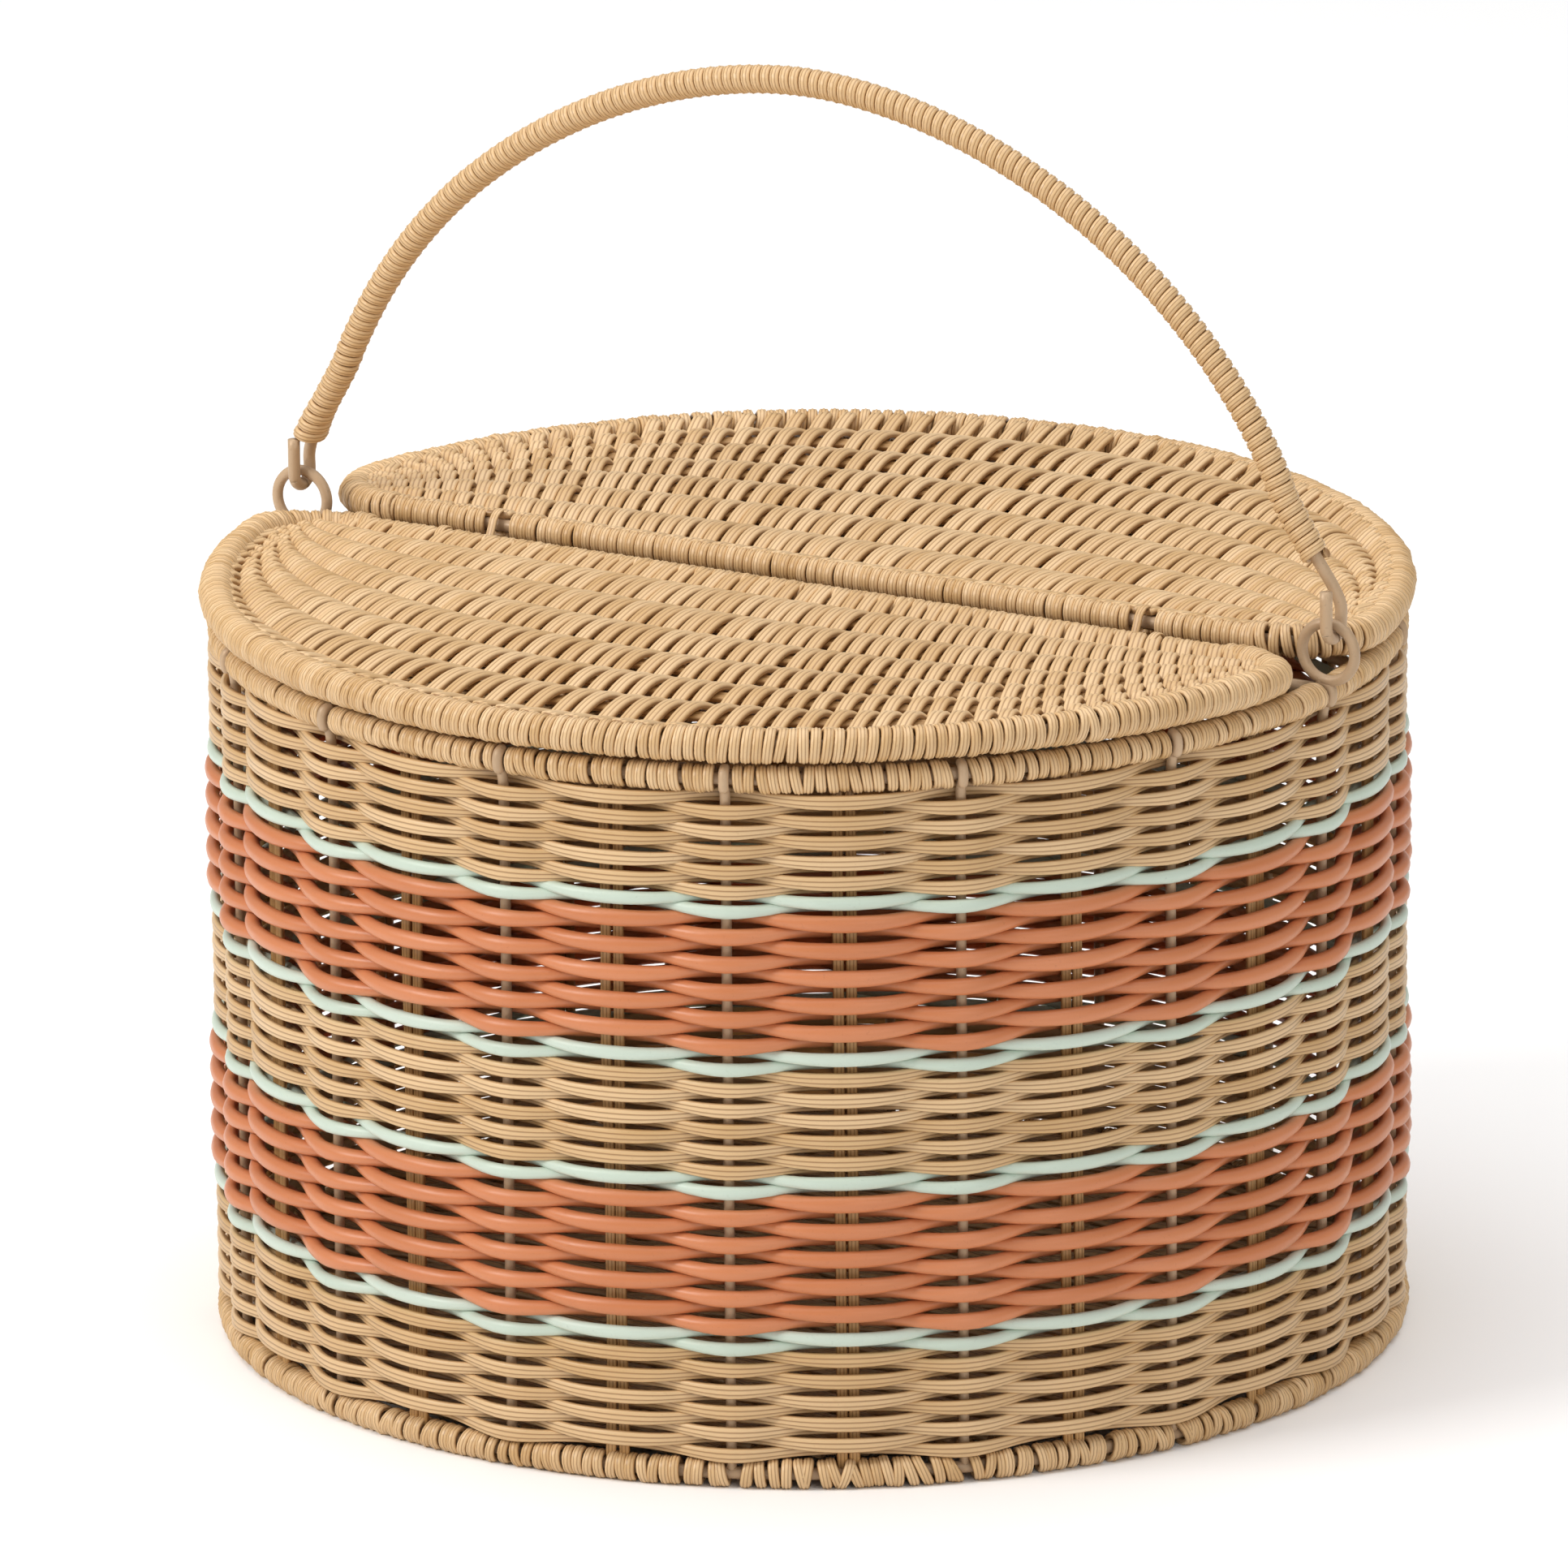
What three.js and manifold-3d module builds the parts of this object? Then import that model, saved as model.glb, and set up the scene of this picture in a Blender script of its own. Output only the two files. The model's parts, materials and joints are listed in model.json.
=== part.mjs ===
// Round picnic basket: plastic-strand weave on a welded wire frame, two D-shaped lids, one bail handle.
// Millimetres, +Z up, origin on the ground at the centre. The handle and the centre bar lie along X.
import * as THREE from 'three';
import { mergeVertices } from 'three/addons/utils/BufferGeometryUtils.js';
import Module from 'manifold-3d';

const wasm = await Module();
wasm.setup();

// ---- driving dimensions ----
const UPRIGHT_RADIUS = 183.5;    // circle that the uprights and both frame rings lie on
const UPRIGHT_COUNT = 16;        // wires, with a pair of strands midway between each two
const WIRE = 1.65;               // radius of an upright wire
const RING_WIRE = 2;             // radius of the ring, lid and bar wires
const WRAP = 4.7;                // outer radius of the strand wrapped round a frame ring
const WRAP_BORE = 2.7;           // radius of the space that a wrap leaves for its wire
const WALL_OUTSIDE = 189.5;
const WALL_INSIDE = 178;
const TOP_RING_Z = 226.5;
const GAP = 0.3;                 // running gap between neighbouring pieces

const LID_RADIUS = 185;          // centre line of a lid's rim
const LID_RIM_Z = 237.2;
const LID_RIM_WRAP = 5.6;
const LID_BAR_Y = 7.2;           // centre line of a lid's straight bar, off the basket's centre
const LID_BAR_WRAP = 5.1;
const LID_CORNER = 28;           // corner radius where the bar turns into the rim
const LID_PANEL = { inset: 6, low: 235.8, high: 240.2 };
const LID_STAKES = { count: 6, first: 29.8, pitch: 25 };   // from the centre to the middle of each
const LIDS = {
  front: { side: -1, barZ: 234.8, ties: [-129, 129] },
  back: { side: 1, barZ: 238.4, ties: [-117, 117] },
};

const CROSSBAR = { radius: 2.5, z: 227.1 };
const TIE = { bore: 4.3, barBore: 3.1, thickness: 1.1, width: 3, groove: 3.6, grooveWidth: 4.4 };

const EYE = { x: 186, z: 239.8, radius: 9.2, wire: 1.75, footX: 184.5 };
const HOOK = { x: 188, radius: 4.6, legTop: 260.2 };
const HANDLE = { halfWidth: 181, baseZ: 241, rise: 157.3, power: 1.85, wire: 1.95, wrap: 4.7 };
const HANDLE_WRAP_FROM_Z = 283;

const RING_SEGMENTS = 40;
const WIRE_SIDES = 6;
const WRAP_SIDES = 8;

const COLOURS = {
  natural: { color: 0xd6b183, roughness: 0.55, metalness: 0 },
  coral: { color: 0xd98a62, roughness: 0.42, metalness: 0 },
  mint: { color: 0xcfe0cf, roughness: 0.45, metalness: 0 },
  steel: { color: 0xb4916c, roughness: 0.45, metalness: 0.2 },
};
const materials = Object.fromEntries(
  Object.entries(COLOURS).map(([name, look]) => [name, new THREE.MeshStandardMaterial(look)]));

// ---- geometry helpers ----

// Merges shared corners and turns every face outward, so that the geometry is one closed body.
function closed(geometry) {
  const bare = geometry.clone();
  bare.deleteAttribute('normal');
  bare.deleteAttribute('uv');
  const merged = mergeVertices(bare, 1e-4);
  const index = Array.from(merged.index.array);
  const at = i => new THREE.Vector3().fromBufferAttribute(merged.attributes.position, i);
  const kept = [];
  let volume = 0;
  for (let i = 0; i < index.length; i += 3) {
    const [a, b, c] = index.slice(i, i + 3);
    if (a === b || b === c || c === a) continue;
    kept.push([a, b, c]);
    volume += at(a).dot(at(b).cross(at(c)));
  }
  merged.setIndex(kept.flatMap(face => (volume < 0 ? face.reverse() : face)));
  merged.computeVertexNormals();
  return merged;
}

function toSolid(geometry) {
  const clean = closed(geometry);
  const vertProperties = Float32Array.from(clean.attributes.position.array);
  const triVerts = Uint32Array.from(clean.index.array);
  return new wasm.Manifold(new wasm.Mesh({ numProp: 3, vertProperties, triVerts }));
}

function toGeometry(solid) {
  const mesh = solid.getMesh();
  const geometry = new THREE.BufferGeometry();
  geometry.setAttribute('position', new THREE.Float32BufferAttribute(mesh.vertProperties, 3));
  geometry.setIndex(Array.from(mesh.triVerts));
  return geometry;
}

function union(geometries) {
  return toGeometry(geometries.map(toSolid).reduce((joined, solid) => joined.add(solid)));
}

// Points on an arc, both ends included.
function arc(cx, cy, radius, from, to, steps) {
  return Array.from({ length: steps + 1 }, (_, i) => {
    const angle = from + (to - from) * i / steps;
    return new THREE.Vector2(cx + radius * Math.cos(angle), cy + radius * Math.sin(angle));
  });
}

function polygon(radius, sides) {
  return arc(0, 0, radius, 0, 2 * Math.PI * (1 - 1 / sides), sides - 1);
}

// A curve that runs straight from point to point, so that a sweep has one step for each.
class PointPath extends THREE.Curve {
  constructor(points) {
    super();
    this.points = points;
  }

  getPoint(t) {
    const last = this.points.length - 1;
    const place = Math.min(Math.max(t, 0), 1) * last;
    const i = Math.min(Math.floor(place), last - 1);
    return this.points[i].clone().lerp(this.points[i + 1], place - i);
  }

  getPointAt(t) { return this.getPoint(t); }

  getTangentAt(t) { return this.getTangent(t); }
}

function sweep(shape, points) {
  const path = new PointPath(points);
  return new THREE.ExtrudeGeometry(shape, { steps: points.length - 1, extrudePath: path });
}

function tube(radius, points) {
  return sweep(new THREE.Shape(polygon(radius, WIRE_SIDES)), points);
}

function sleeve(radius, points) {
  const shape = new THREE.Shape(polygon(radius, WRAP_SIDES));
  shape.holes.push(new THREE.Path(polygon(WRAP_BORE, WIRE_SIDES)));
  return sweep(shape, points);
}

// Turns a profile of (radius, height) points about Z.
function turned(profile, segments = RING_SEGMENTS) {
  return new THREE.LatheGeometry([...profile, profile[0]], segments).rotateX(Math.PI / 2);
}

function plate(shape, low, high) {
  const depth = high - low;
  return new THREE.ExtrudeGeometry(shape, { depth, bevelEnabled: false }).translate(0, 0, low);
}

// A rod along X, centred on the origin.
function rod(radius, length, sides = WIRE_SIDES) {
  return new THREE.CylinderGeometry(radius, radius, length, sides).rotateZ(Math.PI / 2);
}

// The section of a wrap with a slit towards `open` degrees, where the uprights come through.
function slitSection(open, scale = (x, y) => new THREE.Vector2(x, y)) {
  const centre = THREE.MathUtils.degToRad(open);
  const [outerHalf, innerHalf] = [0.49, 0.96];
  const outer = arc(0, 0, WRAP, centre + outerHalf, centre + 2 * Math.PI - outerHalf, 7);
  const inner = arc(0, 0, WRAP_BORE, centre + 2 * Math.PI - innerHalf, centre + innerHalf, 4);
  return [...outer, ...inner].map(p => scale(p.x, p.y));
}

const parts = [];
function add(name, geometry, material, group) {
  const mesh = new THREE.Mesh(closed(geometry), materials[material]);
  mesh.name = name;
  group.add(mesh);
  parts.push(mesh);
}

// ---- basket body ----

// The base wrap's section has seven flats, and the lowest one is the face that the basket rests on.
const BASE_RING_Z = WRAP * Math.cos((Math.PI - 0.49) / 7);

function uprightPlaces(offset) {
  return Array.from({ length: UPRIGHT_COUNT }, (_, i) => (i + offset) * 2 * Math.PI / UPRIGHT_COUNT);
}

function frameRing(z) {
  return turned(polygon(RING_WIRE, WIRE_SIDES).map(p => new THREE.Vector2(UPRIGHT_RADIUS + p.x, z + p.y)));
}

function steelFrame() {
  const height = TOP_RING_Z - BASE_RING_Z;
  const wires = uprightPlaces(0).map(angle => new THREE.CylinderGeometry(WIRE, WIRE, height, WIRE_SIDES)
    .rotateX(Math.PI / 2)
    .translate(UPRIGHT_RADIUS, 0, BASE_RING_Z + height / 2)
    .rotateZ(angle));
  return union([frameRing(TOP_RING_Z), frameRing(BASE_RING_Z), ...wires]);
}

// Two strands side by side, rounded as one strip.
const PAIR = { width: 6.5, depth: 3.2, round: 1 };

function stakePair(angle) {
  const [w, d, r] = [PAIR.depth / 2, PAIR.width / 2, PAIR.round];
  const corners = [
    [w, d - r], [w - r, d], [r - w, d], [-w, d - r], [-w, r - d], [r - w, -d], [w - r, -d], [w, r - d]];
  const shape = new THREE.Shape(corners.map(([x, y]) => new THREE.Vector2(x, y)));
  const clear = RING_WIRE + 2 * GAP;
  return plate(shape, BASE_RING_Z + clear, TOP_RING_Z - clear).translate(UPRIGHT_RADIUS, 0, 0).rotateZ(angle);
}

function wallRing(inside, low, high, throughHoles) {
  const shape = new THREE.Shape(polygon(WALL_OUTSIDE, RING_SEGMENTS));
  shape.holes.push(new THREE.Path(polygon(inside, RING_SEGMENTS)));
  const slot = (angle, halfDepth, halfWidth) => {
    const corners = [[-1, -1], [-1, 1], [1, 1], [1, -1]].map(([x, y]) => {
      const corner = new THREE.Vector2(UPRIGHT_RADIUS + x * halfDepth, y * halfWidth);
      return corner.rotateAround(new THREE.Vector2(), angle);
    });
    shape.holes.push(new THREE.Path(corners));
  };
  if (throughHoles) {
    const clear = 0.4;
    uprightPlaces(0).forEach(angle => slot(angle, WIRE + clear, WIRE + clear));
    uprightPlaces(0.5).forEach(angle => slot(angle, PAIR.depth / 2 + clear, PAIR.width / 2 + clear));
  }
  return plate(shape, low + GAP / 2, high - GAP / 2);
}

// Bands of rows from the base up: [name, material, upper edge]. A mint band is two rows that lie
// outside the uprights; the others hold the uprights inside them.
const BANDS = [
  ['weave_natural_base', 'natural', 43.7],
  ['weave_mint_1', 'mint', 50.5],
  ['weave_coral_lower', 'coral', 94.3],
  ['weave_mint_2', 'mint', 100.3],
  ['weave_natural_middle', 'natural', 133.3],
  ['weave_mint_3', 'mint', 140.1],
  ['weave_coral_upper', 'coral', 183.9],
  ['weave_mint_4', 'mint', 189.6],
  ['weave_natural_top', 'natural', TOP_RING_Z - WRAP - GAP],
];

function topWrap(side) {
  // Leaves a gap at each end of the centre bar for the eye's foot.
  const end = 3.6 / UPRIGHT_RADIUS;
  const flat = arc(0, 0, UPRIGHT_RADIUS, end, Math.PI - end, RING_SEGMENTS / 2);
  const points = flat.map(p => new THREE.Vector3(p.x, side * p.y, TOP_RING_Z));
  return sweep(new THREE.Shape(slitSection(0)), points);
}

function floorWires() {
  const radius = 1.6;
  const length = 2 * (UPRIGHT_RADIUS - WRAP - 2 * GAP);
  const z = 5;
  return union([rod(radius, length), rod(radius, length).rotateZ(Math.PI / 2)]).translate(0, 0, z);
}

function makeBody() {
  const group = new THREE.Group();
  add('steel_frame', steelFrame(), 'steel', group);
  const barLength = 2 * (UPRIGHT_RADIUS - RING_WIRE - GAP);
  add('crossbar', rod(CROSSBAR.radius, barLength).translate(0, 0, CROSSBAR.z), 'steel', group);
  add('floor_wires', floorWires(), 'steel', group);
  const floor = new THREE.Shape(polygon(WALL_INSIDE - 2 * GAP, RING_SEGMENTS));
  add('floor_weave', plate(floor, 7.2, 10.8), 'natural', group);
  const baseSection = slitSection(90, (x, y) => new THREE.Vector2(UPRIGHT_RADIUS + x, BASE_RING_Z + y));
  add('base_ring_wrap', turned(baseSection), 'natural', group);
  add('top_ring_wrap_front', topWrap(-1), 'natural', group);
  add('top_ring_wrap_back', topWrap(1), 'natural', group);
  uprightPlaces(0.5).forEach((angle, i) =>
    add(`stake_pair_${String(i + 1).padStart(2, '0')}`, stakePair(angle), 'natural', group));
  let low = BASE_RING_Z + WRAP + GAP;
  for (const [name, material, high] of BANDS) {
    const inside = material === 'mint' ? UPRIGHT_RADIUS + WIRE + 2 * GAP : WALL_INSIDE;
    add(name, wallRing(inside, low, high, material !== 'mint'), material, group);
    low = high;
  }
  for (const [name, side] of [['eye_left', -1], ['eye_right', 1]]) add(name, eye(side), 'steel', group);
  for (const [lidName, lid] of Object.entries(LIDS)) {
    lid.ties.forEach((x, i) => add(`hinge_tie_${lidName}_${'ab'[i]}`, hingeTie(lid, x), 'natural', group));
  }
  return group;
}

// A wire ring that stands on the top ring and takes the handle's hook.
function eye(side) {
  const ring = new THREE.TorusGeometry(EYE.radius, EYE.wire, WIRE_SIDES, 16)
    .rotateX(Math.PI / 2).translate(EYE.x, 0, EYE.z);
  const [footLow, footHigh] = [TOP_RING_Z + RING_WIRE + GAP, EYE.z - EYE.radius + EYE.wire / 2];
  const foot = new THREE.CylinderGeometry(EYE.wire, EYE.wire, footHigh - footLow, WIRE_SIDES)
    .rotateX(Math.PI / 2).translate(EYE.footX, 0, (footLow + footHigh) / 2);
  return union([ring, foot]).scale(side, 1, 1);
}

// ---- hinge ties ----

// The outline of a belt round two circles, as points, with its flats between them.
function beltOutline(a, radiusA, b, radiusB) {
  const apart = b.clone().sub(a);
  const heading = apart.angle();
  const lean = Math.acos((radiusA - radiusB) / apart.length());
  const roundA = arc(a.x, a.y, radiusA, heading + lean, heading + 2 * Math.PI - lean, 6);
  const roundB = arc(b.x, b.y, radiusB, heading - lean, heading + lean, 4);
  return [...roundA, ...roundB];
}

// A loop of strand that holds a lid's bar to the crossbar and lets the bar turn in it.
function hingeTie(lid, x) {
  const bar = new THREE.Vector2(lid.side * LID_BAR_Y, lid.barZ);
  const cross = new THREE.Vector2(0, CROSSBAR.z);
  const shape = new THREE.Shape(
    beltOutline(bar, TIE.bore + TIE.thickness, cross, TIE.barBore + TIE.thickness));
  shape.holes.push(new THREE.Path(beltOutline(bar, TIE.bore, cross, TIE.barBore)));
  // The outline is drawn in Y and Z, and the plate's thickness runs along X.
  const acrossX = new THREE.Matrix4().makeBasis(
    new THREE.Vector3(0, 1, 0), new THREE.Vector3(0, 0, 1), new THREE.Vector3(1, 0, 0));
  return plate(shape, x - TIE.width / 2, x + TIE.width / 2).applyMatrix4(acrossX);
}

// ---- lids ----

// The edge of a D from one end of its bar round the rim to the other, moved in by `inset`.
function lidEdge(inset) {
  const centreY = LID_BAR_Y + LID_CORNER;
  const centreX = Math.sqrt((LID_RADIUS - LID_CORNER) ** 2 - centreY ** 2);
  const turn = Math.atan2(centreY, centreX);
  const [corner, rim] = [LID_CORNER - inset, LID_RADIUS - inset];
  return [
    ...arc(centreX, centreY, corner, -Math.PI / 2, turn, 6),
    ...arc(0, 0, rim, turn, Math.PI - turn, 20).slice(1, -1),
    ...arc(-centreX, centreY, corner, Math.PI - turn, 1.5 * Math.PI, 6),
  ];
}

// The edge in space: it lies at the rim's height, and at each corner eases to the bar's height.
function lidLine(lid) {
  return lidEdge(0).map(p => {
    const rimShare = THREE.MathUtils.smoothstep(p.y, LID_BAR_Y, LID_BAR_Y + LID_CORNER);
    return new THREE.Vector3(p.x, lid.side * p.y, THREE.MathUtils.lerp(lid.barZ, LID_RIM_Z, rimShare));
  });
}

function lidFrame(lid) {
  const line = lidLine(lid);
  const overlap = 1;
  const bar = rod(RING_WIRE, 2 * (line[0].x + overlap)).translate(0, lid.side * LID_BAR_Y, lid.barZ);
  return union([tube(RING_WIRE, line), bar]);
}

// The strand wrapped along a lid's bar, with a groove where each hinge tie goes round it.
function barWrap(lid) {
  const end = lidEdge(0)[0].x - 4 * GAP;
  const groove = TIE.grooveWidth / 2;
  const outside = lid.ties.flatMap(x => [
    [LID_BAR_WRAP, x - groove], [TIE.groove, x - groove],
    [TIE.groove, x + groove], [LID_BAR_WRAP, x + groove]]);
  const profile = [
    [WRAP_BORE, -end], [LID_BAR_WRAP, -end], ...outside, [LID_BAR_WRAP, end], [WRAP_BORE, end]];
  return turned(profile.map(([r, z]) => new THREE.Vector2(r, z)), WRAP_SIDES)
    .rotateY(Math.PI / 2).translate(0, lid.side * LID_BAR_Y, lid.barZ);
}

function lidPanel(lid) {
  const outline = lidEdge(LID_PANEL.inset).map(p => new THREE.Vector2(p.x, lid.side * p.y));
  return plate(new THREE.Shape(outline), LID_PANEL.low, LID_PANEL.high);
}

// Stakes bow from corner to corner under the weave, and spread evenly across the middle.
function lidStake(lid, middle) {
  const radius = 1.9;
  const z = LID_PANEL.low - 2 * GAP - radius;
  const reach = LID_RADIUS - LID_RIM_WRAP - 12;
  const nearest = LID_BAR_Y + LID_PANEL.inset + radius;
  return tube(radius, Array.from({ length: 13 }, (_, i) => {
    const angle = THREE.MathUtils.degToRad(-66 + 11 * i);
    const y = nearest + (middle - nearest) * Math.cos(angle);
    return new THREE.Vector3(reach * Math.sin(angle), lid.side * y, z);
  }));
}

function makeLid(name, lid) {
  const group = new THREE.Group();
  add(`lid_${name}_frame`, lidFrame(lid), 'steel', group);
  add(`lid_${name}_rim_wrap`, sleeve(LID_RIM_WRAP, lidLine(lid)), 'natural', group);
  add(`lid_${name}_bar_wrap`, barWrap(lid), 'natural', group);
  add(`lid_${name}_weave`, lidPanel(lid), 'natural', group);
  for (let i = 0; i < LID_STAKES.count; i += 1) {
    const middle = LID_STAKES.first + i * LID_STAKES.pitch;
    add(`lid_${name}_stake_${i + 1}`, lidStake(lid, middle), 'natural', group);
  }
  return group;
}

// ---- handle ----

// Half of the handle's line, from the apex to the cut end of its hook.
function handleHalf(side) {
  const point = (x, y, z) => new THREE.Vector3(side * x, y, z);
  const pivotZ = EYE.z + EYE.radius;
  const { halfWidth, baseZ, rise, power } = HANDLE;
  const arch = [];
  for (let degrees = 90; degrees >= 6; degrees -= 6) {
    const angle = THREE.MathUtils.degToRad(degrees);
    const z = baseZ + rise * Math.sin(angle) ** (2 / power);
    if (z > HANDLE_WRAP_FROM_Z) arch.push(point(halfWidth * Math.cos(angle) ** (2 / power), 0, z));
  }
  const hook = arc(0, pivotZ, HOOK.radius, 0, -Math.PI, 6).map(p => point(HOOK.x, p.x, p.y));
  const legs = [
    point(HOOK.x - 5.5, 1.2, pivotZ + 20), point(HOOK.x - 1.1, 3.6, pivotZ + 12),
    point(HOOK.x, HOOK.radius, pivotZ + 6)];
  return [...arch, ...legs, ...hook, point(HOOK.x, -HOOK.radius, HOOK.legTop)];
}

function handleLine() {
  const left = handleHalf(-1).reverse();
  return [...left.slice(0, -1), ...handleHalf(1)];
}

function makeHandle() {
  const group = new THREE.Group();
  const line = handleLine();
  add('handle_wire', tube(HANDLE.wire, line), 'steel', group);
  add('handle_wrap', sleeve(HANDLE.wrap, line.filter(p => p.z > HANDLE_WRAP_FROM_Z)), 'natural', group);
  return group;
}

const basket = new THREE.Group();
basket.add(makeBody(), makeLid('front', LIDS.front), makeLid('back', LIDS.back), makeHandle());
basket.name = 'basket';

export default basket;
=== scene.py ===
"""Looks of the round picnic basket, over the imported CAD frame.

Every strand, wrap turn and wire is its own swept form, worked out in millimetres and built in metres. The
camera and the lights are placed in metres.
"""
import json
import math

import bpy
import numpy as np
from mathutils import Matrix, Vector


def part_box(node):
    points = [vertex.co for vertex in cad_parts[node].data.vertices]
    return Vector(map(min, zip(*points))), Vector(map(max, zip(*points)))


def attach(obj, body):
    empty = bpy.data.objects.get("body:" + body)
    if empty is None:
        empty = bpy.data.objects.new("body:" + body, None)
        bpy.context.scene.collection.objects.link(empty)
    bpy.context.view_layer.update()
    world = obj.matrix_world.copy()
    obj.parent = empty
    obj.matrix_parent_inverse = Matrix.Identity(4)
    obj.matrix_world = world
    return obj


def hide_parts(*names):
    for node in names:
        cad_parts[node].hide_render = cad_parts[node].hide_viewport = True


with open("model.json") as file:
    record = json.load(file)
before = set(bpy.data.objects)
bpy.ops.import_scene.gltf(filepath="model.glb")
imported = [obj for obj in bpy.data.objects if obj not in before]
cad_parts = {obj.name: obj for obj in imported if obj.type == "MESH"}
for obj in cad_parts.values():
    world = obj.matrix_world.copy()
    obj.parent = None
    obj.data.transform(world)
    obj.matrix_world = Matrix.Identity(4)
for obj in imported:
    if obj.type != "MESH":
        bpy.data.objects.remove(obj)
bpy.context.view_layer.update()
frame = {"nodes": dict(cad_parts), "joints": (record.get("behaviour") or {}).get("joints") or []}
rng = np.random.default_rng(41)

# ---- sizes, in millimetres; places come from the frame ----
MM = 0.001
UPRIGHTS = 16
STRAND = (4.7, 2.6)           # width and thickness of the wall's ribbed strand
CORAL = (5.3, 4.6)
MINT = (4.3, 3.4)
PAIR_STRAND = (3.5, 2.3)
PAIR_HALF_GAP = 1.95          # from the middle of a stake pair to the middle of each strand
BAND_ROWS = 10                # in each natural or coral band
MINT_ROWS = 2
SWING = {"natural": 3.4, "coral": 3.9, "mint": 3.6}    # how far a row swings in and out of the ring's circle
UPRIGHT_WIRE = 3.3            # diameters of the wires
FRAME_WIRE = 4.0
HANDLE_WIRE = 3.9
FLOOR_WIRE = 3.2
CROSSBAR = 4.8
WRAP_STRAND = (3.45, 2.1)
WRAP_PITCH = 3.45
BAR_PITCH = 3.3
RING_TURN = 3.6               # radii of the turns, to the middle of the strand
RIM_TURN = 4.55
BAR_TURN = 3.5
HANDLE_TURN = 3.65
RIM_WRAP_R = 5.6              # outer radii of the wraps
HANDLE_WRAP_R = 4.7
TIE_STRAND = (3.0, 1.0)
TIE_CLEARANCE = 4.2           # bare wire on a lid's bar to each side of a tie
FLOOR_STAKE = (4, 1.6)
LID_STRAND = (5.1, 2.7)
LID_STRANDS = 128
LID_STAKE_STRAND = (3.2, 2.2)
LID_STAKE_HALF_GAP = 1.7
LID_AMPLITUDE = 2.9           # how far a lid's strand rises and falls over the stakes
LID_CORNER = 25               # radius of a lid's corners in plan
LEFT_TUCK = 1.8               # how much further in the handle's left leg stands than its right leg


def low(node):
    return np.array(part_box(node)[0]) / MM


def high(node):
    return np.array(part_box(node)[1]) / MM


def mid(node):
    return (low(node) + high(node)) / 2


RING_R = high("steel_frame")[0] - 2
TOP_Z = high("steel_frame")[2] - 2
BASE_Z = mid("base_ring_wrap")[2]
RIM_R = high("lid_back_frame")[1] - 2

# ---- strand sections, as outlines of (across, outward, share of painted shade in the grooves) ----


def ribbed(width, thickness, ribs=3, depth=0.5, dome=0.45):
    """A flat strand with rounded ribs on its outward side, lower at its edges by the share `dome`."""
    top = 2 * ribs + 1
    x = np.linspace(-0.5, 0.5, top) * width
    in_groove = (np.arange(top) % 2 == 0).astype(float)
    crown = 1 - dome * (2 * np.abs(x) / width) ** 3
    y = thickness / 2 * crown - depth * in_groove
    y[[0, -1]] = -0.05 * thickness
    under_x = np.array([0.42, 0.0, -0.42]) * width
    under_y = np.array([-0.36, -0.5, -0.36]) * thickness
    # Third column: share of painted shade, 1 down in the grooves, 0 on the crests, 0.5 underneath where the
    # material adds none.
    outline = [np.append(x, under_x), np.append(y, under_y), np.append(in_groove, [0.5, 0.5, 0.5])]
    return np.stack(outline, 1)[::-1]


def oval(width, thickness, sides=12):
    a = np.arange(sides) * 2 * math.pi / sides
    return np.stack([np.cos(a) * width / 2, np.sin(a) * thickness / 2, 0 * a], 1)


WRAP_SECTION = ribbed(*WRAP_STRAND, depth=0.3, dome=0.75)
TURN_STEPS = 14

# ---- strand meshes ----


def unit(v):
    return v / np.maximum(np.linalg.norm(v, axis=-1, keepdims=True), 1e-12)


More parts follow.
